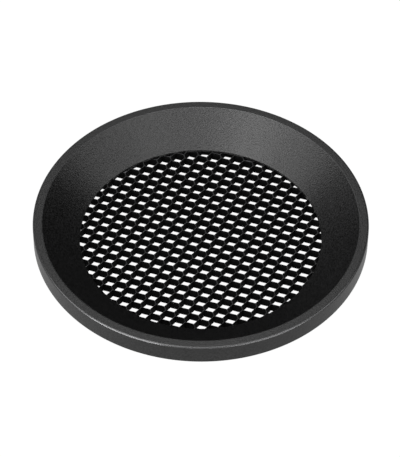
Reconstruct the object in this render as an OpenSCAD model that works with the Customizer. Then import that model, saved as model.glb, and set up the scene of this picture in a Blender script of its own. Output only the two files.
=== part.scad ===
// Round honeycomb grid for a studio flash head.
// A conical frame ends in a spigot, in which a snap ring holds a disc of corrugated foil against the throat
// flange. Frame and spigot are one casting, drawn as two solids that meet where the spigot leaves the cone.
// Behind the lip, a moulded carrier holds the magnets that pull the grid onto the head's rim.
// Z = 0 is the foot of the spigot, and the light leaves along +Z.

/* [Frame] */
// Outer diameter
outer_d = 127; // [125:0.5:129]
// Overall height, from the foot of the spigot to the lip
overall_h = 16.4; // [16.3:0.1:18]
// Width of the flat lip around the mouth
lip_w = 3.4; // [3:0.1:4]
// Height of the outer wall
skirt_h = 8; // [7.6:0.05:8.3]
// Diameter of the throat, at the foot of the cone
throat_d = 92; // [90:0.5:93]
// Depth of the cone, from the lip to the throat
cone_depth = 10; // [9.8:0.1:10.2]
// Thickness of the cone and of the outer wall
wall = 1.8; // [1.7:0.05:1.9]
// Thickness of the flange that the core lies against
flange_t = 0.8; // [0.6:0.1:0.9]
// Radius of the rounded edges
edge_r = 0.4; // [0.3:0.05:0.6]

/* [Spigot] */
// Outer diameter of the spigot that enters the head
spigot_d = 104; // [103.8:0.1:104.2]
// Diameter of the pocket that holds the core
pocket_d = 99.2; // [99:0.1:99.4]
// Chamfer at the foot of the spigot
foot_chamfer = 0.5; // [0.3:0.1:0.6]

/* [Snap ring] */
// Diameter of the ring's wire
wire_d = 1.4; // [1.2:0.05:1.4]
// Depth of the ring's groove in the pocket wall
groove_depth = 0.6; // [0.5:0.05:0.7]
// Angle left open between the ring's ends
ring_gap = 9; // [5:1:20]

/* [Honeycomb core] */
// Diameter of the core
core_d = 98.6; // [98.2:0.1:98.8]
// Thickness of the core, along the light
core_t = 3.65; // [3.4:0.05:3.75]
// Distance between cell centres across the ribbons
cell_across = 5.51; // [5.4:0.01:5.7]
// Distance between cell centres along a ribbon
cell_along = 7.43; // [7.2:0.01:7.7]
// Length of the flats where neighbouring ribbons are bonded
bond_flat = 2; // [1.6:0.05:2.2]
// Thickness of the foil
foil_t = 0.17; // [0.1:0.01:0.2]
// Direction across the ribbons, anticlockwise from +X
core_angle = 15.7; // [0:0.1:60]
// Offset of the middle cell from the axis, across the ribbons
shift_across = -0.13; // [-0.3:0.01:0.3]
// Offset of the middle cell from the axis, along the ribbons
shift_along = 2.81; // [2:0.01:3]

/* [Magnet carrier] */
// How far the carrier stands proud of the outer wall
seat_proud = 0.5; // [0.4:0.05:0.6]
// Height of the carrier
carrier_h = 4.25; // [4:0.05:4.5]
// Width of the carrier's rim outside the magnets
carrier_rim = 0.8; // [0.6:0.1:0.9]
// Diameter of a magnet
magnet_d = 5; // [4.5:0.1:5]
// Thickness of a magnet
magnet_t = 2; // [1.5:0.1:2]
// Number of magnets
magnet_count = 8; // [4:4:8]

/* [Carrier screws] */
// Diameter of a screw's thread
screw_d = 2; // [1.8:0.1:2]
// Length of a screw
screw_len = 4.6; // [4:0.1:4.6]
// Diameter of a screw's countersunk head
screw_head_d = 3.8; // [3.6:0.1:4]
// Diameter of a screw's boss on the frame
boss_d = 4.6; // [4:0.1:4.6]
// Thickness of the carrier under a boss
boss_floor = 2.2; // [2:0.1:2.4]
// Number of screws
screw_count = 4; // [4:4:8]

/* [Hidden] */
$fn = 180;
outer_r = outer_d / 2;
throat_r = throat_d / 2;
spigot_r = spigot_d / 2;
pocket_r = pocket_d / 2;
core_r = core_d / 2;
wire_r = wire_d / 2;
mouth_r = outer_r - lip_w;
skirt_inner_r = outer_r - wall;

// Heights above the foot of the spigot
skirt_z = overall_h - skirt_h;
throat_z = overall_h - cone_depth;
core_top_z = throat_z - flange_t;
core_z = core_top_z - core_t;
seat_z = skirt_z - seat_proud;

// Groove and snap ring
groove_r = pocket_r + groove_depth;
groove_play = 0.05;
groove_top_z = core_z + groove_play;
groove_foot_z = core_z - wire_d - groove_play;
mouth_chamfer = 0.2;

// Ribbons of the core
ribbon_pitch = cell_across / 2;
wave_h = ribbon_pitch - foil_t;
flat_pitch = cell_along / 2;
wall_angle = atan2(wave_h, flat_pitch - bond_flat);
mitre = foil_t / 2 * tan(wall_angle / 2);
outer_flat = ceil(core_r / flat_pitch) + 1;
first_ribbon = ceil((-core_r - shift_across) / ribbon_pitch - 0.5);
last_ribbon = floor((core_r - shift_across) / ribbon_pitch - 0.5);
ribbon_count = last_ribbon - first_ribbon + 1;

// Carrier, magnets and screws
carrier_inner_gap = 1;
carrier_outer_gap = 0.2;
carrier_inner_r = spigot_r + carrier_inner_gap;
carrier_outer_r = skirt_inner_r - carrier_outer_gap;
carrier_top_z = seat_z + carrier_h;
carrier_air = 0.15;
carrier_chamfer = 0.3;
holder_r = carrier_outer_r - carrier_rim - magnet_d / 2;
magnet_angle = 360 / magnet_count;
screw_angle = 360 / screw_count;
screw_r = screw_d / 2;
head_r = screw_head_d / 2;
head_rim_h = 0.2;
head_cone_h = head_r - screw_r;
screw_play = 0.1;
boss_r = boss_d / 2;
boss_z = seat_z + boss_floor;
boss_play = 0.2;
tip_space = 0.2;
socket_d = 1.5;
socket_depth = 0.7;
cut = 1;
coat_colour = "#38393b";

function numbered(stem, i) = str(stem, i < 10 ? "0" : "", i);
function reversed(points) = [for (i = [len(points) - 1 : -1 : 0]) points[i]];
function arc(centre, radius, from, to, steps = 6) = [
    for (i = [0 : steps])
        let (a = from + (to - from) * i / steps)
            centre + radius * [cos(a), sin(a)]
];

// Height of the cone's lit face at radius r, and of its underside, which is one wall thickness behind it
cone_rise = cone_depth / (mouth_r - throat_r);
function cone_z(r) = throat_z + cone_rise * (r - throat_r);
function cone_under_z(r) = cone_z(r) - wall * norm([1, cone_rise]);

// The frame and the spigot meet on the plane where the spigot's outside leaves the cone's underside, so the
// space around the spigot, which the head's rim slides into, lies wholly below the frame
split_z = cone_under_z(spigot_r);
split_r = throat_r + (split_z - throat_z) / cone_rise;

// Half section of the frame, as [radius, height]
frame_outline = concat(
    [
        [split_r, split_z],
        [spigot_r, split_z],
        [skirt_inner_r, cone_under_z(skirt_inner_r)],
        [skirt_inner_r, skirt_z]
    ],
    arc([outer_r - edge_r, skirt_z + edge_r], edge_r, -90, 0),
    arc([outer_r - edge_r, overall_h - edge_r], edge_r, 0, 90),
    [[mouth_r, overall_h]]
);

// Half section of the spigot, with the throat flange, the core's pocket and the snap ring's groove
spigot_outline = [
    [pocket_r + mouth_chamfer, 0],
    [spigot_r - foot_chamfer, 0],
    [spigot_r, foot_chamfer],
    [spigot_r, split_z],
    [split_r, split_z],
    [throat_r, throat_z],
    [throat_r, core_top_z],
    [pocket_r, core_top_z],
    [pocket_r, groove_top_z],
    [groove_r, groove_top_z],
    [groove_r, groove_foot_z],
    [pocket_r, groove_foot_z],
    [pocket_r, mouth_chamfer]
];

// Half section of the room under the cone's middle surface, which the bosses fill
function cone_middle_z(r) = (cone_z(r) + cone_under_z(r)) / 2;
boss_room = [
    [spigot_r, boss_z],
    [skirt_inner_r, boss_z],
    [skirt_inner_r, cone_middle_z(skirt_inner_r)],
    [spigot_r, cone_middle_z(spigot_r)]
];

// Half section of the carrier: it follows the underside of the cone with a little air, up to its flat top
function carrier_slope_z(r) = cone_under_z(r) - carrier_air;
carrier_top_r = carrier_inner_r + (carrier_top_z - carrier_slope_z(carrier_inner_r)) / cone_rise;
carrier_outline = [
    [carrier_inner_r, seat_z],
    [carrier_outer_r - carrier_chamfer, seat_z],
    [carrier_outer_r, seat_z + carrier_chamfer],
    [carrier_outer_r, carrier_top_z],
    [carrier_top_r, carrier_top_z],
    [carrier_inner_r, carrier_slope_z(carrier_inner_r)]
];

// Place of screw i and of magnet i on the underside; the screws stand halfway between two magnets
module at_screw(i) {
    rotate((i - 1) * screw_angle + magnet_angle / 2)
        translate([holder_r, 0, 0])
            children();
}

module at_magnet(i) {
    rotate((i - 1) * magnet_angle)
        translate([holder_r, 0, 0])
            children();
}

module frame_bosses() {
    intersection() {
        for (i = [1 : screw_count])
            at_screw(i)
                translate([0, 0, boss_z])
                    cylinder(r = boss_r, h = overall_h - boss_z);
        rotate_extrude()
            polygon(boss_room);
    }
}

module frame() {
    color(coat_colour)
        difference() {
            union() {
                rotate_extrude()
                    polygon(frame_outline);
                frame_bosses();
            }
            for (i = [1 : screw_count])
                at_screw(i)
                    translate([0, 0, boss_z - cut])
                        cylinder(r = screw_r, h = screw_len - boss_floor + tip_space + cut);
        }
}

module spigot_ring() {
    color(coat_colour)
        rotate_extrude()
            polygon(spigot_outline);
}

// Ribbon k in plan is a wave of flats joined by sloping walls. Flat j lies on its crest towards +X, or in
// its trough towards -X, and flats outside the disc are cut off, so an outer ribbon can be several lengths.
function crest(k, j) = (j + k) % 2 == 0 ? 1 : -1;
function ribbon_x(k) = shift_across + (k + 0.5) * ribbon_pitch;
function flat_centre(k, j) = [ribbon_x(k) + crest(k, j) * wave_h / 2, shift_along + j * flat_pitch];
function in_disc(k, j) = norm(flat_centre(k, j)) < core_r;
function length_starts(k) = [for (j = [-outer_flat : outer_flat]) if (in_disc(k, j) && !in_disc(k, j - 1)) j];
function length_end(k, j) = in_disc(k, j + 1) ? length_end(k, j + 1) : j;

// One side of a length of ribbon k, from the middle of the cut flat before flat a to that of the cut flat
// after flat b; side is 1 towards +X and -1 towards -X
function length_side(k, a, b, side) = [
    for (j = [a - 1 : b + 1], end = [-1, 1])
        let (cut_off = (j < a && end < 0) || (j > b && end > 0))
            flat_centre(k, j)
            + [side * foil_t / 2, cut_off ? 0 : end * (bond_flat / 2 + crest(k, j) * side * mitre)]
];

module ribbon_length(k, a, b) {
    intersection() {
        polygon(concat(length_side(k, a, b, 1), reversed(length_side(k, a, b, -1))));
        circle(r = core_r);
    }
}

module foil_ribbon(i) {
    k = first_ribbon + i - 1;
    color("#1c1c1e")
        translate([0, 0, core_z])
            rotate(core_angle)
                linear_extrude(core_t)
                    for (j = length_starts(k))
                        ribbon_length(k, j, length_end(k, j));
}

module snap_ring() {
    color("#8b8d90")
        rotate(ring_gap / 2 - 90)
            rotate_extrude(angle = 360 - ring_gap)
                translate([groove_r - wire_r, core_z - wire_r])
                    circle(r = wire_r);
}

module magnet_carrier() {
    color("#232426")
        difference() {
            rotate_extrude()
                polygon(carrier_outline);
            for (i = [1 : magnet_count])
                at_magnet(i)
                    translate([0, 0, seat_z - cut])
                        cylinder(d = magnet_d, h = magnet_t + cut);
            for (i = [1 : screw_count])
                at_screw(i) {
                    screw_head();
                    translate([0, 0, seat_z])
                        cylinder(r = screw_r + screw_play, h = carrier_h);
                    translate([0, 0, boss_z])
                        cylinder(r = boss_r + boss_play, h = carrier_h);
                }
        }
}

module magnet(i) {
    color("#c6c9cd")
        at_magnet(i)
            translate([0, 0, seat_z])
                cylinder(d = magnet_d, h = magnet_t);
}

module screw_head() {
    translate([0, 0, seat_z])
        cylinder(r = head_r, h = head_rim_h);
    translate([0, 0, seat_z + head_rim_h])
        cylinder(r1 = head_r, r2 = screw_r, h = head_cone_h);
}

module carrier_screw(i) {
    color("#2c2d2f")
        at_screw(i)
            difference() {
                union() {
                    screw_head();
                    translate([0, 0, seat_z + head_rim_h])
                        cylinder(r = screw_r, h = screw_len - head_rim_h);
                }
                translate([0, 0, seat_z - cut])
                    cylinder(d = socket_d, h = socket_depth + cut, $fn = 6);
            }
}

frame();
spigot_ring();
for (i = [1 : ribbon_count])
    foil_ribbon(i);
snap_ring();
magnet_carrier();
for (i = [1 : magnet_count])
    magnet(i);
for (i = [1 : screw_count])
    carrier_screw(i);
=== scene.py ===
import math
import random

import bmesh
import bpy
from mathutils import Matrix, Vector


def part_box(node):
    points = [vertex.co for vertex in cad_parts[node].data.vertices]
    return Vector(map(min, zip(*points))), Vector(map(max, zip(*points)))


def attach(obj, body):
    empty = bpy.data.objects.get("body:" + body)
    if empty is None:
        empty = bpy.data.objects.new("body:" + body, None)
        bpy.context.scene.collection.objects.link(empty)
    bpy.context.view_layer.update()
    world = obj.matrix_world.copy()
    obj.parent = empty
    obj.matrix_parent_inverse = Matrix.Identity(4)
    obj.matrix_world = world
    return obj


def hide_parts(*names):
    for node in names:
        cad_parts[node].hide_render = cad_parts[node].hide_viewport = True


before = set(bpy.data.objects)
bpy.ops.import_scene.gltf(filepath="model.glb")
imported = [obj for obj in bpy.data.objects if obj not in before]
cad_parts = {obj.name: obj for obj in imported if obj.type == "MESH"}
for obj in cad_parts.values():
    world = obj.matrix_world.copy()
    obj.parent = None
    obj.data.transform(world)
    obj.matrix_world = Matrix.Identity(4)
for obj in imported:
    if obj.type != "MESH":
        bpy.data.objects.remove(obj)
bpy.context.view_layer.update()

MM = 0.001
BODY = "root"


def cad(node):
    """Lowest and highest corner of a CAD node, in millimetres."""
    low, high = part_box(node)
    return low / MM, high / MM


def numbered(stem):
    """CAD nodes whose names are the stem and a number, in order."""
    return sorted(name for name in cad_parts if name.startswith(stem))


# ---------------------------------------------------------------- sizes
FRAME_HIGH = cad("frame")[1]
CORE_LOW, CORE_HIGH = cad(numbered("foil_ribbon_")[0])
RING_LOW, RING_HIGH = cad("snap_ring")
CARRIER_LOW, CARRIER_HIGH = cad("magnet_carrier")

LIP_W = 3.4
SKIRT_H = 8.0
CONE_DEPTH = 10.0
OUTER_R = FRAME_HIGH.x
LIP_Z = FRAME_HIGH.z
SKIRT_Z = LIP_Z - SKIRT_H
WALL = 1.8
FOOT_EDGE_R = 0.4
LIP_EDGE_R = 0.6
MOUTH_EDGE_R = 0.3
MOUTH_R = OUTER_R - LIP_W
THROAT_R = 46.0
THROAT_Z = LIP_Z - CONE_DEPTH
CONE_RISE = (LIP_Z - THROAT_Z) / (MOUTH_R - THROAT_R)
SPIGOT_R = 52.0
SPIGOT_CHAMFER = 0.5
POCKET_R = 49.6
POCKET_CHAMFER = 0.2
CORE_R = 49.3

WIRE_R = (RING_HIGH.z - RING_LOW.z) / 2
WIRE_Z = (RING_HIGH.z + RING_LOW.z) / 2
GROOVE_R = RING_HIGH.x
GROOVE_PLAY = 0.05
RING_GAP = 9.0

SEAT_Z = CARRIER_LOW.z
CARRIER_TOP_Z = CARRIER_HIGH.z
CARRIER_INNER_GAP = 1.0
CARRIER_OUTER_GAP = 0.2
CARRIER_INNER_R = SPIGOT_R + CARRIER_INNER_GAP
CARRIER_OUTER_R = OUTER_R - WALL - CARRIER_OUTER_GAP
CARRIER_AIR = 0.15

# Foil pattern, as in the CAD core
CELL_ACROSS = 5.51
CELL_ALONG = 7.43
BOND_FLAT = 2.0
FOIL_T = 0.17
CORE_ANGLE = 15.7
SHIFT_ACROSS = -0.13
SHIFT_ALONG = 2.81


def cone_under_z(r):
    """Height of the cone's underside at radius r."""
    return THROAT_Z + CONE_RISE * (r - THROAT_R) - WALL * math.hypot(1, CONE_RISE)


# ---------------------------------------------------------------- mesh tools
# Vertex layer for the foil's pale top edge: partly its bare cut edge, partly a painted highlight
EDGE_AND_HIGHLIGHT_LAYER = "cut_edge_and_highlight"
SHARP_DEG = 40
CUT_SHARP_DEG = 30
MERGE_M = 1e-7


def rounded(corners, steps=5, closed=True, hold=0.18):
    """Points along a polygon of (x, y, fillet radius) corners, with true arcs at the corners.

    Two more points near the ends of each straight keep its shading flat.
    """
    points = []
    count = len(corners)
    for i, (x, y, radius) in enumerate(corners):
        here = Vector((x, y))
        if not closed and i in (0, count - 1):
            points.append(here)
            continue
        before = Vector(corners[i - 1][:2]) - here
        after = Vector(corners[(i + 1) % count][:2]) - here
        half = before.angle(after) / 2
        setback = radius / math.tan(half)
        start = here + before.normalized() * setback
        end = here + after.normalized() * setback
        centre = here + (before.normalized() + after.normalized()).normalized() * radius / math.sin(half)
        if hold and before.length > setback + 4 * hold:
            points.append(start + before.normalized() * hold)
        a, b = start - centre, end - centre
        for s in range(steps + 1):
            points.append(centre + a.slerp(b, s / steps) * radius)
        if hold and after.length > setback + 4 * hold:
            points.append(end + after.normalized() * hold)
    return points


def new_piece(name, verts, faces, nodes, slot, material, edge_and_highlight_values=None):
    """A mesh piece in millimetres that stands for CAD nodes, or a tool for combine() when it has none.

    Values for each vertex, if given, set how pale a foil's cut edge is painted: partly its bare edge, partly
    a painted highlight.
    """
    mesh = bpy.data.meshes.new(name)
    mesh.from_pydata([Vector(v) * MM for v in verts], [], faces)
    if edge_and_highlight_values:
        mesh.attributes.new(EDGE_AND_HIGHLIGHT_LAYER, "FLOAT", "POINT").data.foreach_set("value", edge_and_highlight_values)
    finish_mesh(mesh, SHARP_DEG)
    piece = bpy.data.objects.new(name, mesh)
    bpy.context.scene.collection.objects.link(piece)
    mesh.materials.append(material)
    if nodes:
        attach(piece, BODY)
        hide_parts(*nodes)
    return piece


def finish_mesh(mesh, sharp_deg):
    """Outward normals, and smooth shading but for edges sharper than sharp_deg."""
    work = bmesh.new()
    work.from_mesh(mesh)
    bmesh.ops.remove_doubles(work, verts=work.verts, dist=MERGE_M)
    bmesh.ops.recalc_face_normals(work, faces=work.faces)
    work.to_mesh(mesh)
    work.free()
    mesh.polygons.foreach_set("use_smooth", [True] * len(mesh.polygons))
    mesh.set_sharp_from_angle(angle=math.radians(sharp_deg))


def lathe(section, segments=288, start_deg=0.0, turn_deg=360.0):
    """Vertices and faces of a closed section of (radius, height) points turned about the Z axis."""
    whole = turn_deg == 360.0
    rings = segments if whole else segments + 1
    count = len(section)
    verts = []
    for i in range(rings):
        a = math.radians(start_deg + turn_deg * i / segments)
        verts += [(r * math.cos(a), r * math.sin(a), z) for r, z in section]
    faces = []
    for i in range(segments):
        j = (i + 1) % rings
        for k in range(count):
            m = (k + 1) % count
            faces.append((i * count + k, i * count + m, j * count + m, j * count + k))
    if not whole:
        faces.append(tuple(range(count)))
        faces.append(tuple(range((rings - 1) * count, rings * count)))
    return verts, faces


def spun(outline, segments=64, centre=(0.0, 0.0)):
    """Vertices and faces of a solid turned from an open outline whose two ends lie on the axis."""
    inner = outline[1:-1]
    count = len(inner)
    verts = []
    for i in range(segments):
        a = math.tau * i / segments
        verts += [(centre[0] + r * math.cos(a), centre[1] + r * math.sin(a), z) for r, z in inner]
    faces = []
    for i in range(segments):
        j = (i + 1) % segments
        for k in range(count - 1):
            faces.append((i * count + k, i * count + k + 1, j * count + k + 1, j * count + k))
    low, high = len(verts), len(verts) + 1
    verts += [(centre[0], centre[1], outline[0][1]), (centre[0], centre[1], outline[-1][1])]
    for i in range(segments):
        j = (i + 1) % segments
        faces.append((low, i * count, j * count))
        faces.append((high, j * count + count - 1, i * count + count - 1))
    return verts, faces


def combine(piece, tools, operation, sharp_deg):
    """Adds the tool objects to the piece or cuts them from it, and removes them."""
    for tool in tools:
        modifier = piece.modifiers.new("combine", "BOOLEAN")
        modifier.operation = operation
        modifier.solver = "EXACT"
        modifier.object = tool
    graph = bpy.context.evaluated_depsgraph_get()
    result = bpy.data.meshes.new_from_object(piece.evaluated_get(graph))
    piece.modifiers.clear()
    old = piece.data
    piece.data = result
    bpy.data.meshes.remove(old)
    for tool in tools:
        bpy.data.objects.remove(tool)
    finish_mesh(piece.data, sharp_deg)


# ---------------------------------------------------------------- material tools
def new_material(name):
    """A material, its node tree and its Principled shader."""
    material = bpy.data.materials.new(name)
    material.use_nodes = True
    return material, material.node_tree, material.node_tree.nodes["Principled BSDF"]


def feed(tree, socket, value):
    """Gives a socket a number, a colour or another node's output."""
    if isinstance(value, bpy.types.NodeSocket):
        tree.links.new(value, socket)
    elif isinstance(value, tuple):
        socket.default_value = (*value, 1)
    else:
        socket.default_value = value


def surface(tree, shader, colour, roughness, metallic=0.0):
    """Sets the shader's colour, roughness and metal, each a plain value or a socket."""
    feed(tree, shader.inputs["Base Color"], colour)
    feed(tree, shader.inputs["Roughness"], roughness)
    feed(tree, shader.inputs["Metallic"], metallic)


def position(tree):
    """The point's position in object space, in metres."""
    return tree.nodes.new("ShaderNodeTexCoord").outputs["Object"]


def noise(tree, scale, detail, stretch=(1, 1, 1)):
    """The value of a 3-D noise in object space; scale is in features per metre."""
    mapping = tree.nodes.new("ShaderNodeMapping")
    texture = tree.nodes.new("ShaderNodeTexNoise")
    mapping.inputs["Scale"].default_value = stretch
    texture.inputs["Scale"].default_value = scale
    texture.inputs["Detail"].default_value = detail
    texture.inputs["Roughness"].default_value = 0.55
    tree.links.new(position(tree), mapping.inputs["Vector"])
    tree.links.new(mapping.outputs["Vector"], texture.inputs["Vector"])
    return texture.outputs["Fac"]


def remap(tree, value, low, high, to_low, to_high):
    """value from low..high to to_low..to_high, held at the ends."""
    node = tree.nodes.new("ShaderNodeMapRange")
    node.inputs["From Min"].default_value = low
    node.inputs["From Max"].default_value = high
    node.inputs["To Min"].default_value = to_low
    node.inputs["To Max"].default_value = to_high
    tree.links.new(value, node.inputs["Value"])
    return node.outputs["Result"]


def calc(tree, operation, *values):
    """One Math node; the values are sockets or numbers."""
    node = tree.nodes.new("ShaderNodeMath")
    node.operation = operation
    for socket, value in zip(node.inputs, values):
        feed(tree, socket, value)
    return node.outputs[0]


def blend_colours(tree, factor, a, b):
    """Colour a where factor is 0 and b where it is 1; a and b are colours or sockets."""
    node = tree.nodes.new("ShaderNodeMix")
    node.data_type = "RGBA"
    tree.links.new(factor, node.inputs["Factor"])
    colours = [s for s in node.inputs if s.type == "RGBA"]
    for socket, value in zip(colours, (a, b)):
        feed(tree, socket, value)
    return next(s for s in node.outputs if s.type == "RGBA")


def bump(tree, shader, height, depth, strength):
    """Bump on the shader from a height socket; depth is the full relief in metres."""
    node = tree.nodes.new("ShaderNodeBump")
    node.inputs["Distance"].default_value = depth
    node.inputs["Strength"].default_value = strength
    tree.links.new(height, node.inputs["Height"])
    tree.links.new(node.outputs["Normal"], shader.inputs["Normal"])


# ---------------------------------------------------------------- materials
def rise(tree, value, start, end):
    """0 up to start and 1 from end on, both in millimetres."""
    return remap(tree, value, start * MM, end * MM, 0.0, 1.0)


def lip_wear(tree):
    """How far the coat is rubbed on the lip's rounded edges: fully outside, less at the mouth."""
    split = tree.nodes.new("ShaderNodeSeparateXYZ")
    tree.links.new(position(tree), split.inputs["Vector"])
    squares = [calc(tree, "MULTIPLY", split.outputs[axis], split.outputs[axis]) for axis in "XY"]
    radius = calc(tree, "SQRT", calc(tree, "ADD", *squares))
    height = split.outputs["Z"]

    start, full = LIP_EDGE_R, 0.3 * LIP_EDGE_R
    near_rim = rise(tree, radius, OUTER_R - start, OUTER_R - full)
    near_top = rise(tree, height, LIP_Z - start, LIP_Z - full)
    outer_wear = calc(tree, "MULTIPLY", near_rim, near_top)

    mouth_wear = 0.7
    start, full = 0.12, 0.04
    in_mouth = remap(tree, radius, (MOUTH_R - 0.05) * MM, (MOUTH_R + start) * MM, mouth_wear, 0.0)
    mouth_top = rise(tree, height, LIP_Z - start, LIP_Z - full)
    inner_wear = calc(tree, "MULTIPLY", in_mouth, mouth_top)
    return calc(tree, "MAXIMUM", outer_wear, inner_wear)


def powder_coat():
    """Satin black powder coat with a fine speckled grain, faint clouding and rubbed lip edges."""
    material, tree, shader = new_material("powder_coat")
    dark, pale = (0.0014, 0.0014, 0.0014), (0.0125, 0.0125, 0.0127)
    rubbed = (0.12, 0.12, 0.122)
    grain = noise(tree, scale=1700, detail=2.0)
    speckle = remap(tree, grain, 0.36, 0.64, 0.0, 1.0)
    cloud = remap(tree, noise(tree, scale=60, detail=2.0), 0.3, 0.7, 0.8, 1.0)
    coat = blend_colours(tree, calc(tree, "MULTIPLY", speckle, cloud), dark, pale)
    patchy = remap(tree, noise(tree, scale=500, detail=2.0), 0.3, 0.7, 0.85, 1.0)
    wear = calc(tree, "MULTIPLY", lip_wear(tree), patchy)
    rough = remap(tree, grain, 0.3, 0.7, 0.285, 0.33)
    smoother = remap(tree, wear, 0.0, 1.0, 1.0, 0.75)
    roughness = calc(tree, "MULTIPLY", rough, smoother)
    surface(tree, shader, blend_colours(tree, wear, coat, rubbed), roughness, wear)
    covered = remap(tree, wear, 0.0, 0.5, 1.0, 0.0)
    relief = calc(tree, "MULTIPLY", grain, covered)
    bump(tree, shader, relief, depth=0.0001, strength=1.0)
    return material


def black_foil():
    """Foil dipped matt black, mottled on its walls, with a pale top edge that is partly the bare cut edge and
    partly a painted highlight.

    The mesh's vertex layer sets how pale the top edge is painted: most on the sloping walls, where the
    painted highlight is strongest.
    """
    material, tree, shader = new_material("black_foil")
    dark, pale = (0.0006, 0.0006, 0.0006), (0.004, 0.004, 0.0042)
    # The pale top-edge colour is partly the bare cut edge and partly a painted highlight
    bare_edge_and_highlight, edge_and_highlight_band = (0.085, 0.085, 0.087), 0.06
    split = tree.nodes.new("ShaderNodeSeparateXYZ")
    tree.links.new(position(tree), split.inputs["Vector"])
    top = rise(tree, split.outputs["Z"], CORE_HIGH.z - edge_and_highlight_band, CORE_HIGH.z)
    wear = remap(tree, noise(tree, scale=900, detail=2.0), 0.35, 0.65, 0.5, 1.0)
    edge_and_highlight_share = tree.nodes.new("ShaderNodeAttribute")
    edge_and_highlight_share.attribute_name = EDGE_AND_HIGHLIGHT_LAYER
    # Painted top-edge band: the bare cut edge with a painted highlight, mottled by noise and scaled by the
    # mesh's vertex layer
    edge = calc(tree, "MULTIPLY", calc(tree, "MULTIPLY", top, wear), edge_and_highlight_share.outputs["Fac"])
    mottle = noise(tree, scale=1500, detail=3.0)
    wall = blend_colours(tree, remap(tree, mottle, 0.35, 0.65, 0.0, 1.0), dark, pale)
    surface(tree, shader, blend_colours(tree, edge, wall, bare_edge_and_highlight), 0.7)
    shader.inputs["Specular IOR Level"].default_value = 0.04
    bump(tree, shader, mottle, depth=0.00006, strength=0.5)
    return material


def spring_wire():
    """Phosphated spring steel with fine drawing lines."""
    material, tree, shader = new_material("spring_wire")
    streak = noise(tree, scale=1800, detail=3.0, stretch=(1, 1, 5))
    surface(tree, shader, (0.22, 0.22, 0.23), remap(tree, streak, 0.3, 0.7, 0.30, 0.48), 1.0)
    bump(tree, shader, streak, depth=0.00002, strength=0.3)
    return material


def moulded_plastic():
    """Black nylon with a spark-eroded mould texture."""
    material, tree, shader = new_material("moulded_plastic")
    grain = noise(tree, scale=3200, detail=1.0)
    surface(tree, shader, (0.018, 0.018, 0.019), remap(tree, grain, 0.3, 0.7, 0.48, 0.62))
    bump(tree, shader, grain, depth=0.00003, strength=0.5)
    return material


def nickel():
    """Nickel plate with a slight haze and fine rubbing marks."""
    material, tree, shader = new_material("nickel")
    haze = noise(tree, scale=700, detail=4.0)
    surface(tree, shader, (0.62, 0.61, 0.58), remap(tree, haze, 0.3, 0.7, 0.14, 0.30), 1.0)
    marks = noise(tree, scale=4000, detail=2.0, stretch=(1, 6, 1))
    bump(tree, shader, marks, depth=0.00001, strength=0.2)
    return material


def black_oxide():
    """Blackened steel."""
    material, tree, shader = new_material("black_oxide")
    mottle = noise(tree, scale=1600, detail=3.0)
    surface(tree, shader, (0.045, 0.045, 0.05), remap(tree, mottle, 0.3, 0.7, 0.28, 0.45), 1.0)
    return material


COAT = powder_coat()
FOIL = black_foil()
WIRE = spring_wire()
PLASTIC = moulded_plastic()
NICKEL = nickel()
OXIDE = black_oxide()


# ---------------------------------------------------------------- screws and magnets: places from the CAD
def centre_of(node):
    """Centre of a CAD node in plan."""
    low, high = cad(node)
    return ((low.x + high.x) / 2, (low.y + high.y) / 2)


MAGNETS = numbered("magnet_0")
SCREWS = numbered("carrier_screw_")
MAGNET_LOW, MAGNET_HIGH = cad(MAGNETS[0])
MAGNET_R = (MAGNET_HIGH.x - MAGNET_LOW.x) / 2
MAGNET_TOP_Z = MAGNET_HIGH.z
SCREW_LOW, SCREW_HIGH = cad(SCREWS[0])
SCREW_TIP_Z = SCREW_HIGH.z
HEAD_R = (SCREW_HIGH.x - SCREW_LOW.x) / 2
SCREW_R = 1.0
HEAD_RIM = 0.2
HEAD_TOP_Z = SEAT_Z + HEAD_RIM + HEAD_R - SCREW_R
SOCKET_R = 0.75
SOCKET_DEPTH = 0.7
SOCKET_TIP = 0.15
BOSS_R = 2.3
BOSS_Z = SEAT_Z + 2.2


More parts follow.
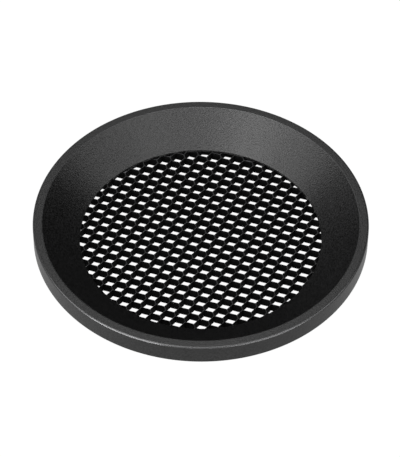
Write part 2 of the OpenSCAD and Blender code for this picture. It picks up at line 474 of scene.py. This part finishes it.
# ---------------------------------------------------------------- frame
def build_frame():
    """Lip, cone, outer wall, throat flange and spigot in one turned piece, with the four screw bosses."""
    groove_top = WIRE_Z + WIRE_R + GROOVE_PLAY
    groove_foot = WIRE_Z - WIRE_R - GROOVE_PLAY
    core_top = CORE_HIGH.z
    # radius, height and fillet of each corner
    section = rounded([
        (POCKET_R + POCKET_CHAMFER, 0, 0.05),
        (SPIGOT_R - SPIGOT_CHAMFER, 0, 0.15),
        (SPIGOT_R, SPIGOT_CHAMFER, 0.15),
        (SPIGOT_R, cone_under_z(SPIGOT_R), 0.3),
        (OUTER_R - WALL, cone_under_z(OUTER_R - WALL), 0.5),
        (OUTER_R - WALL, SKIRT_Z, 0.2),
        (OUTER_R, SKIRT_Z, FOOT_EDGE_R),
        (OUTER_R, LIP_Z, LIP_EDGE_R),
        (MOUTH_R, LIP_Z, MOUTH_EDGE_R),
        (THROAT_R, THROAT_Z, 0.1),
        (THROAT_R, core_top, 0.08),
        (POCKET_R, core_top, 0.06),
        (POCKET_R, groove_top, 0.04),
        (GROOVE_R, groove_top, 0.04),
        (GROOVE_R, groove_foot, 0.04),
        (POCKET_R, groove_foot, 0.04),
        (POCKET_R, POCKET_CHAMFER, 0.05),
    ])
    piece = new_piece("frame_shell", *lathe(section), ("frame", "spigot_ring"), "frame_coat", COAT)
    bosses = []
    for i, node in enumerate(SCREWS):
        x, y = centre_of(node)
        inner = math.hypot(x, y) - BOSS_R
        inside_wall = 0.6 * WALL
        top = cone_under_z(inner) + inside_wall
        outline = rounded([
            (0, BOSS_Z, 0), (BOSS_R, BOSS_Z, 0.15), (BOSS_R, top, 0.1), (0, top, 0)
        ], steps=3, closed=False, hold=0)
        bosses.append(new_piece(f"boss_{i}", *spun(outline, 32, (x, y)), None, None, COAT))
    combine(piece, bosses, "UNION", SHARP_DEG)


build_frame()


# ---------------------------------------------------------------- foil core
RIBBON_PITCH = CELL_ACROSS / 2
WAVE_H = RIBBON_PITCH - FOIL_T
FLAT_PITCH = CELL_ALONG / 2
FIRST_RIBBON = math.ceil((-CORE_R - SHIFT_ACROSS) / RIBBON_PITCH - 0.5)
OUTER_FLAT = math.ceil(CORE_R / FLAT_PITCH) + 1
FOLD_R = 0.3
# Share of the pale top edge, with its painted highlight, left on the bonded flats
FLAT_EDGE_HIGHLIGHT = 0.4
WALL_SLOPE = 0.8
UNEVEN = 0.03


def flat_centre(k, j):
    """Centre of flat j of ribbon k, across and along the ribbons."""
    crest = 1 if (j + k) % 2 == 0 else -1
    across = SHIFT_ACROSS + (k + 0.5) * RIBBON_PITCH + crest * WAVE_H / 2
    return Vector((across, SHIFT_ALONG + j * FLAT_PITCH))


def ribbon_lengths(k):
    """Runs of flats of ribbon k that lie inside the disc."""
    runs, run = [], []
    for j in range(-OUTER_FLAT, OUTER_FLAT + 1):
        if flat_centre(k, j).length < CORE_R:
            run.append(j)
        elif run:
            runs.append(run)
            run = []
    return runs


def clip_to_disc(points):
    """The stretch of a path inside the disc, cut where it crosses the disc's edge."""
    kept = []
    for a, b in zip(points, points[1:]):
        inside_a, inside_b = a.length < CORE_R, b.length < CORE_R
        if inside_a and not kept:
            kept.append(a)
        if inside_a != inside_b:
            low, high = 0.0, 1.0
            for _ in range(30):
                middle = (low + high) / 2
                if (a.lerp(b, middle).length < CORE_R) == inside_a:
                    low = middle
                else:
                    high = middle
            kept.append(a.lerp(b, low))
        if inside_b:
            kept.append(b)
    return kept


def foil_path(k, run):
    """Middle line of one length of ribbon k in plan, with rounded folds."""
    corners = []
    for j in range(run[0] - 1, run[-1] + 2):
        x, y = flat_centre(k, j)
        half = BOND_FLAT / 2
        corners += [(x, y - half, FOLD_R), (x, y + half, FOLD_R)]
    corners[0] = (*flat_centre(k, run[0] - 1), 0)
    corners[-1] = (*flat_centre(k, run[-1] + 1), 0)
    return clip_to_disc(rounded(corners, steps=3, closed=False, hold=0))


def foil_strip(path, verts, faces, edge_and_highlight_values, draw):
    """Adds a strip of foil on edge along the path, its cut edge slightly uneven.

    The cut edge is painted palest, with the most painted highlight, on the sloping walls, and the flat share
    of that on the bonded flats.
    """
    turn = Matrix.Rotation(math.radians(CORE_ANGLE), 2)
    base = len(verts)
    count = len(path)
    for i, point in enumerate(path):
        before = (point - path[max(i - 1, 0)]).normalized() if i else None
        after = (path[min(i + 1, count - 1)] - point).normalized() if i < count - 1 else None
        along = ((before or after) + (after or before)).normalized()
        across = Vector((along.y, -along.x))
        lean = along.dot(after or before)
        offset = across * (FOIL_T / 2 / max(lean, 0.5))
        top = CORE_HIGH.z - draw.uniform(0.0, UNEVEN)
        foot = CORE_LOW.z + draw.uniform(0.0, UNEVEN)
        for side, z in ((-1, foot), (1, foot), (1, top), (-1, top)):
            x, y = turn @ (point + side * offset)
            verts.append((x, y, z))
        # Painted highlight on the top edge by the wall's direction in plan: full on the sloping walls, less
        # on the bonded flats
        slope = min(abs(along.x) / WALL_SLOPE, 1.0)
        edge_and_highlight_values += [FLAT_EDGE_HIGHLIGHT + (1 - FLAT_EDGE_HIGHLIGHT) * slope] * 4
    for i in range(count - 1):
        a, b = base + 4 * i, base + 4 * (i + 1)
        for s in range(4):
            t = (s + 1) % 4
            faces.append((a + s, a + t, b + t, b + s))
    faces.append(tuple(base + s for s in range(4)))
    faces.append(tuple(base + 4 * (count - 1) + s for s in range(4)))


def build_core():
    """Every ribbon of the core, each its own piece."""
    draw = random.Random(7)
    for i, node in enumerate(numbered("foil_ribbon_")):
        k = FIRST_RIBBON + i
        verts, faces, edge_and_highlight_values = [], [], []
        for run in ribbon_lengths(k):
            foil_strip(foil_path(k, run), verts, faces, edge_and_highlight_values, draw)
        new_piece(f"foil_{i + 1:02d}", verts, faces, (node,), "foil", FOIL, edge_and_highlight_values=edge_and_highlight_values)


build_core()


# ---------------------------------------------------------------- snap ring
def build_snap_ring():
    """Open ring of round wire, its ends ground square."""
    steps = 20
    middle_r = GROOVE_R - WIRE_R
    section = [
        (middle_r + WIRE_R * math.cos(math.tau * i / steps), WIRE_Z + WIRE_R * math.sin(math.tau * i / steps))
        for i in range(steps)
    ]
    ring = lathe(section, 240, RING_GAP / 2 - 90, 360 - RING_GAP)
    new_piece("wire_ring", *ring, ("snap_ring",), "ring_wire", WIRE)


build_snap_ring()


# ---------------------------------------------------------------- magnet carrier
def cutter(outline, centre):
    """A turned tool for combine()."""
    return new_piece("cutter", *spun(outline, 48, centre), None, None, PLASTIC)


def build_carrier():
    """Moulded ring with softened edges, magnet pockets and countersunk screw holes."""
    def slope_z(r):
        return cone_under_z(r) - CARRIER_AIR

    top_r = CARRIER_INNER_R + (CARRIER_TOP_Z - slope_z(CARRIER_INNER_R)) / CONE_RISE
    section = rounded([
        (CARRIER_INNER_R, SEAT_Z, 0.2),
        (CARRIER_OUTER_R, SEAT_Z, 0.3),
        (CARRIER_OUTER_R, CARRIER_TOP_Z, 0.3),
        (top_r, CARRIER_TOP_Z, 0.3),
        (CARRIER_INNER_R, slope_z(CARRIER_INNER_R), 0.15),
    ])
    piece = new_piece("carrier_ring", *lathe(section), ("magnet_carrier",), "carrier_plastic", PLASTIC)
    below = SEAT_Z - 1
    above = CARRIER_TOP_Z + 1
    mouth = 0.2
    play = 0.1
    boss_play = 0.2
    tools = []
    for node in MAGNETS:
        outline = [
            (0, below), (MAGNET_R + mouth, below), (MAGNET_R + mouth, SEAT_Z),
            (MAGNET_R, SEAT_Z + mouth), (MAGNET_R, MAGNET_TOP_Z), (0, MAGNET_TOP_Z)
        ]
        tools.append(cutter(outline, centre_of(node)))
    for node in SCREWS:
        outline = [
            (0, below), (HEAD_R + play, below), (HEAD_R + play, SEAT_Z + HEAD_RIM),
            (SCREW_R + play, HEAD_TOP_Z), (SCREW_R + play, BOSS_Z),
            (BOSS_R + boss_play, BOSS_Z), (BOSS_R + boss_play, above), (0, above)
        ]
        tools.append(cutter(outline, centre_of(node)))
    combine(piece, tools, "DIFFERENCE", CUT_SHARP_DEG)


build_carrier()


# ---------------------------------------------------------------- magnets and screws
def build_magnets():
    """Plated discs with rounded edges."""
    for i, node in enumerate(MAGNETS):
        outline = rounded([
            (0, SEAT_Z, 0), (MAGNET_R, SEAT_Z, 0.2), (MAGNET_R, MAGNET_TOP_Z, 0.2), (0, MAGNET_TOP_Z, 0)
        ], closed=False)
        disc = spun(outline, 64, centre_of(node))
        new_piece(f"magnet_disc_{i + 1:02d}", *disc, (node,), "magnet_plating", NICKEL)


def build_screws():
    """Countersunk screws with a hexagon socket."""
    for i, node in enumerate(SCREWS):
        centre = centre_of(node)
        outline = rounded([
            (0, SEAT_Z, 0), (HEAD_R, SEAT_Z, 0.12), (HEAD_R, SEAT_Z + HEAD_RIM, 0.04),
            (SCREW_R, HEAD_TOP_Z, 0.1), (SCREW_R, SCREW_TIP_Z, 0.2), (0, SCREW_TIP_Z, 0)
        ], closed=False, hold=0.05)
        piece = new_piece(f"screw_{i + 1:02d}", *spun(outline, 48, centre), (node,), "screw_steel", OXIDE)
        socket = [
            (0, SEAT_Z - 1), (SOCKET_R, SEAT_Z - 1), (SOCKET_R, SEAT_Z + SOCKET_DEPTH),
            (0, SEAT_Z + SOCKET_DEPTH + SOCKET_TIP)
        ]
        tool = new_piece("cutter", *spun(socket, 6, centre), None, None, OXIDE)
        combine(piece, [tool], "DIFFERENCE", CUT_SHARP_DEG)


build_magnets()
build_screws()


# ---------------------------------------------------------------- floor, light and camera
def look_at(thing, target):
    """Turns a light or camera so that it faces the target."""
    thing.rotation_euler = (Vector(target) - thing.location).to_track_quat("-Z", "Y").to_euler()


def area_light(name, azimuth, elevation, width, watts):
    """A soft box that faces the object."""
    azimuth, elevation = math.radians(azimuth), math.radians(elevation)
    data = bpy.data.lights.new(name, "AREA")
    data.shape = "RECTANGLE"
    data.size, data.size_y = width, BOX_HEIGHT
    data.energy = watts
    light = bpy.data.objects.new(name, data)
    flat = math.cos(elevation) * BOX_DISTANCE
    light.location = (math.sin(azimuth) * flat, -math.cos(azimuth) * flat, math.sin(elevation) * BOX_DISTANCE)
    look_at(light, (0, 0, LIP_Z * MM / 2))
    light.visible_camera = False
    bpy.context.scene.collection.objects.link(light)


def camera_ray(tree):
    """1 for what the camera sees directly, and 0 for light that reaches the object."""
    return tree.nodes.new("ShaderNodeLightPath").outputs["Is Camera Ray"]


def build_floor():
    """A large pale floor: white to the camera, a dimmer glow to the object, and clear from below."""
    mesh = bpy.data.meshes.new("floor")
    half, level = 6.0, -0.00002
    corners = [(-half, -half, level), (half, -half, level), (half, half, level), (-half, half, level)]
    mesh.from_pydata(corners, [], [(0, 1, 2, 3)])
    floor = bpy.data.objects.new("floor", mesh)
    bpy.context.scene.collection.objects.link(floor)
    material, tree, shader = new_material("floor")
    surface(tree, shader, (0.02, 0.02, 0.02), 0.8)
    shader.inputs["Specular IOR Level"].default_value = 0.0
    shader.inputs["Emission Color"].default_value = (1, 1, 1, 1)
    glow = remap(tree, camera_ray(tree), 0.0, 1.0, FLOOR_GLOW, 1.0)
    tree.links.new(glow, shader.inputs["Emission Strength"])
    clear = tree.nodes.new("ShaderNodeBsdfTransparent")
    side = tree.nodes.new("ShaderNodeNewGeometry")
    mix = tree.nodes.new("ShaderNodeMixShader")
    out = tree.nodes["Material Output"]
    tree.links.new(side.outputs["Backfacing"], mix.inputs["Fac"])
    tree.links.new(shader.outputs[0], mix.inputs[1])
    tree.links.new(clear.outputs[0], mix.inputs[2])
    tree.links.new(mix.outputs[0], out.inputs["Surface"])
    mesh.materials.append(material)


def build_world():
    """White behind the object, which lights nothing."""
    world = bpy.data.worlds.new("studio")
    bpy.context.scene.world = world
    world.use_nodes = True
    tree = world.node_tree
    backdrop = tree.nodes["Background"]
    backdrop.inputs["Color"].default_value = (1, 1, 1, 1)
    tree.links.new(camera_ray(tree), backdrop.inputs["Strength"])


# Soft boxes: name, azimuth from the front towards +X, elevation, width, watts
SOFT_BOXES = [
    ("front_low", 0, 18, 0.45, 0.8),
    ("front_left_low", 316, 18, 0.9, 14.0),
    ("front_right_low", 40, 18, 0.9, 6.5),
    ("front_high", 0, 65, 0.45, 1.6),
    ("right_high", 60, 65, 0.45, 2.1),
    ("back_high", 180, 65, 0.45, 1.5),
    ("left_high", 300, 65, 0.45, 3.8),
    ("right_side", 90, 40, 0.45, 1.5),
    ("back_side", 180, 40, 0.45, 0.5),
    ("back_left", 225, 40, 0.45, 0.4),
    ("left_side", 270, 40, 0.45, 2.1),
]
BOX_HEIGHT = 0.45
BOX_DISTANCE = 1.1
FLOOR_GLOW = 0.56
build_floor()
build_world()
for box in SOFT_BOXES:
    area_light(*box)


# The camera's distance and offsets are shares of the object's outer radius
VIEW_ELEVATION = 47.363
VIEW_ROLL = 0.38
VIEW_DISTANCE = 13.844
VIEW_ASIDE = 0.0045
VIEW_ABOVE = 0.0593
VIEW_LENS = 183.24


def build_camera():
    """Looks down at the grid, with its mouth a little under the picture's middle."""
    elevation, roll = math.radians(VIEW_ELEVATION), math.radians(VIEW_ROLL)
    distance = VIEW_DISTANCE * OUTER_R * MM
    aside, above = VIEW_ASIDE * OUTER_R * MM, VIEW_ABOVE * OUTER_R * MM
    forward = Vector((0, math.cos(elevation), -math.sin(elevation)))
    right = Vector((1, 0, 0))
    up = Vector((0, math.sin(elevation), math.cos(elevation)))
    data = bpy.data.cameras.new("view")
    data.sensor_width = 36
    data.lens = VIEW_LENS
    data.clip_start, data.clip_end = 0.01, 50
    camera = bpy.data.objects.new("view", data)
    turned_right = math.cos(roll) * right + math.sin(roll) * up
    turned_up = -math.sin(roll) * right + math.cos(roll) * up
    axes = Matrix((turned_right, turned_up, -forward)).transposed()
    place = Vector((0, 0, LIP_Z * MM)) - aside * right - above * up - distance * forward
    camera.matrix_world = Matrix.Translation(place) @ axes.to_4x4()
    bpy.context.scene.collection.objects.link(camera)
    bpy.context.scene.camera = camera


build_camera()
bpy.context.scene.view_settings.view_transform = "Standard"

bpy.context.view_layer.update()
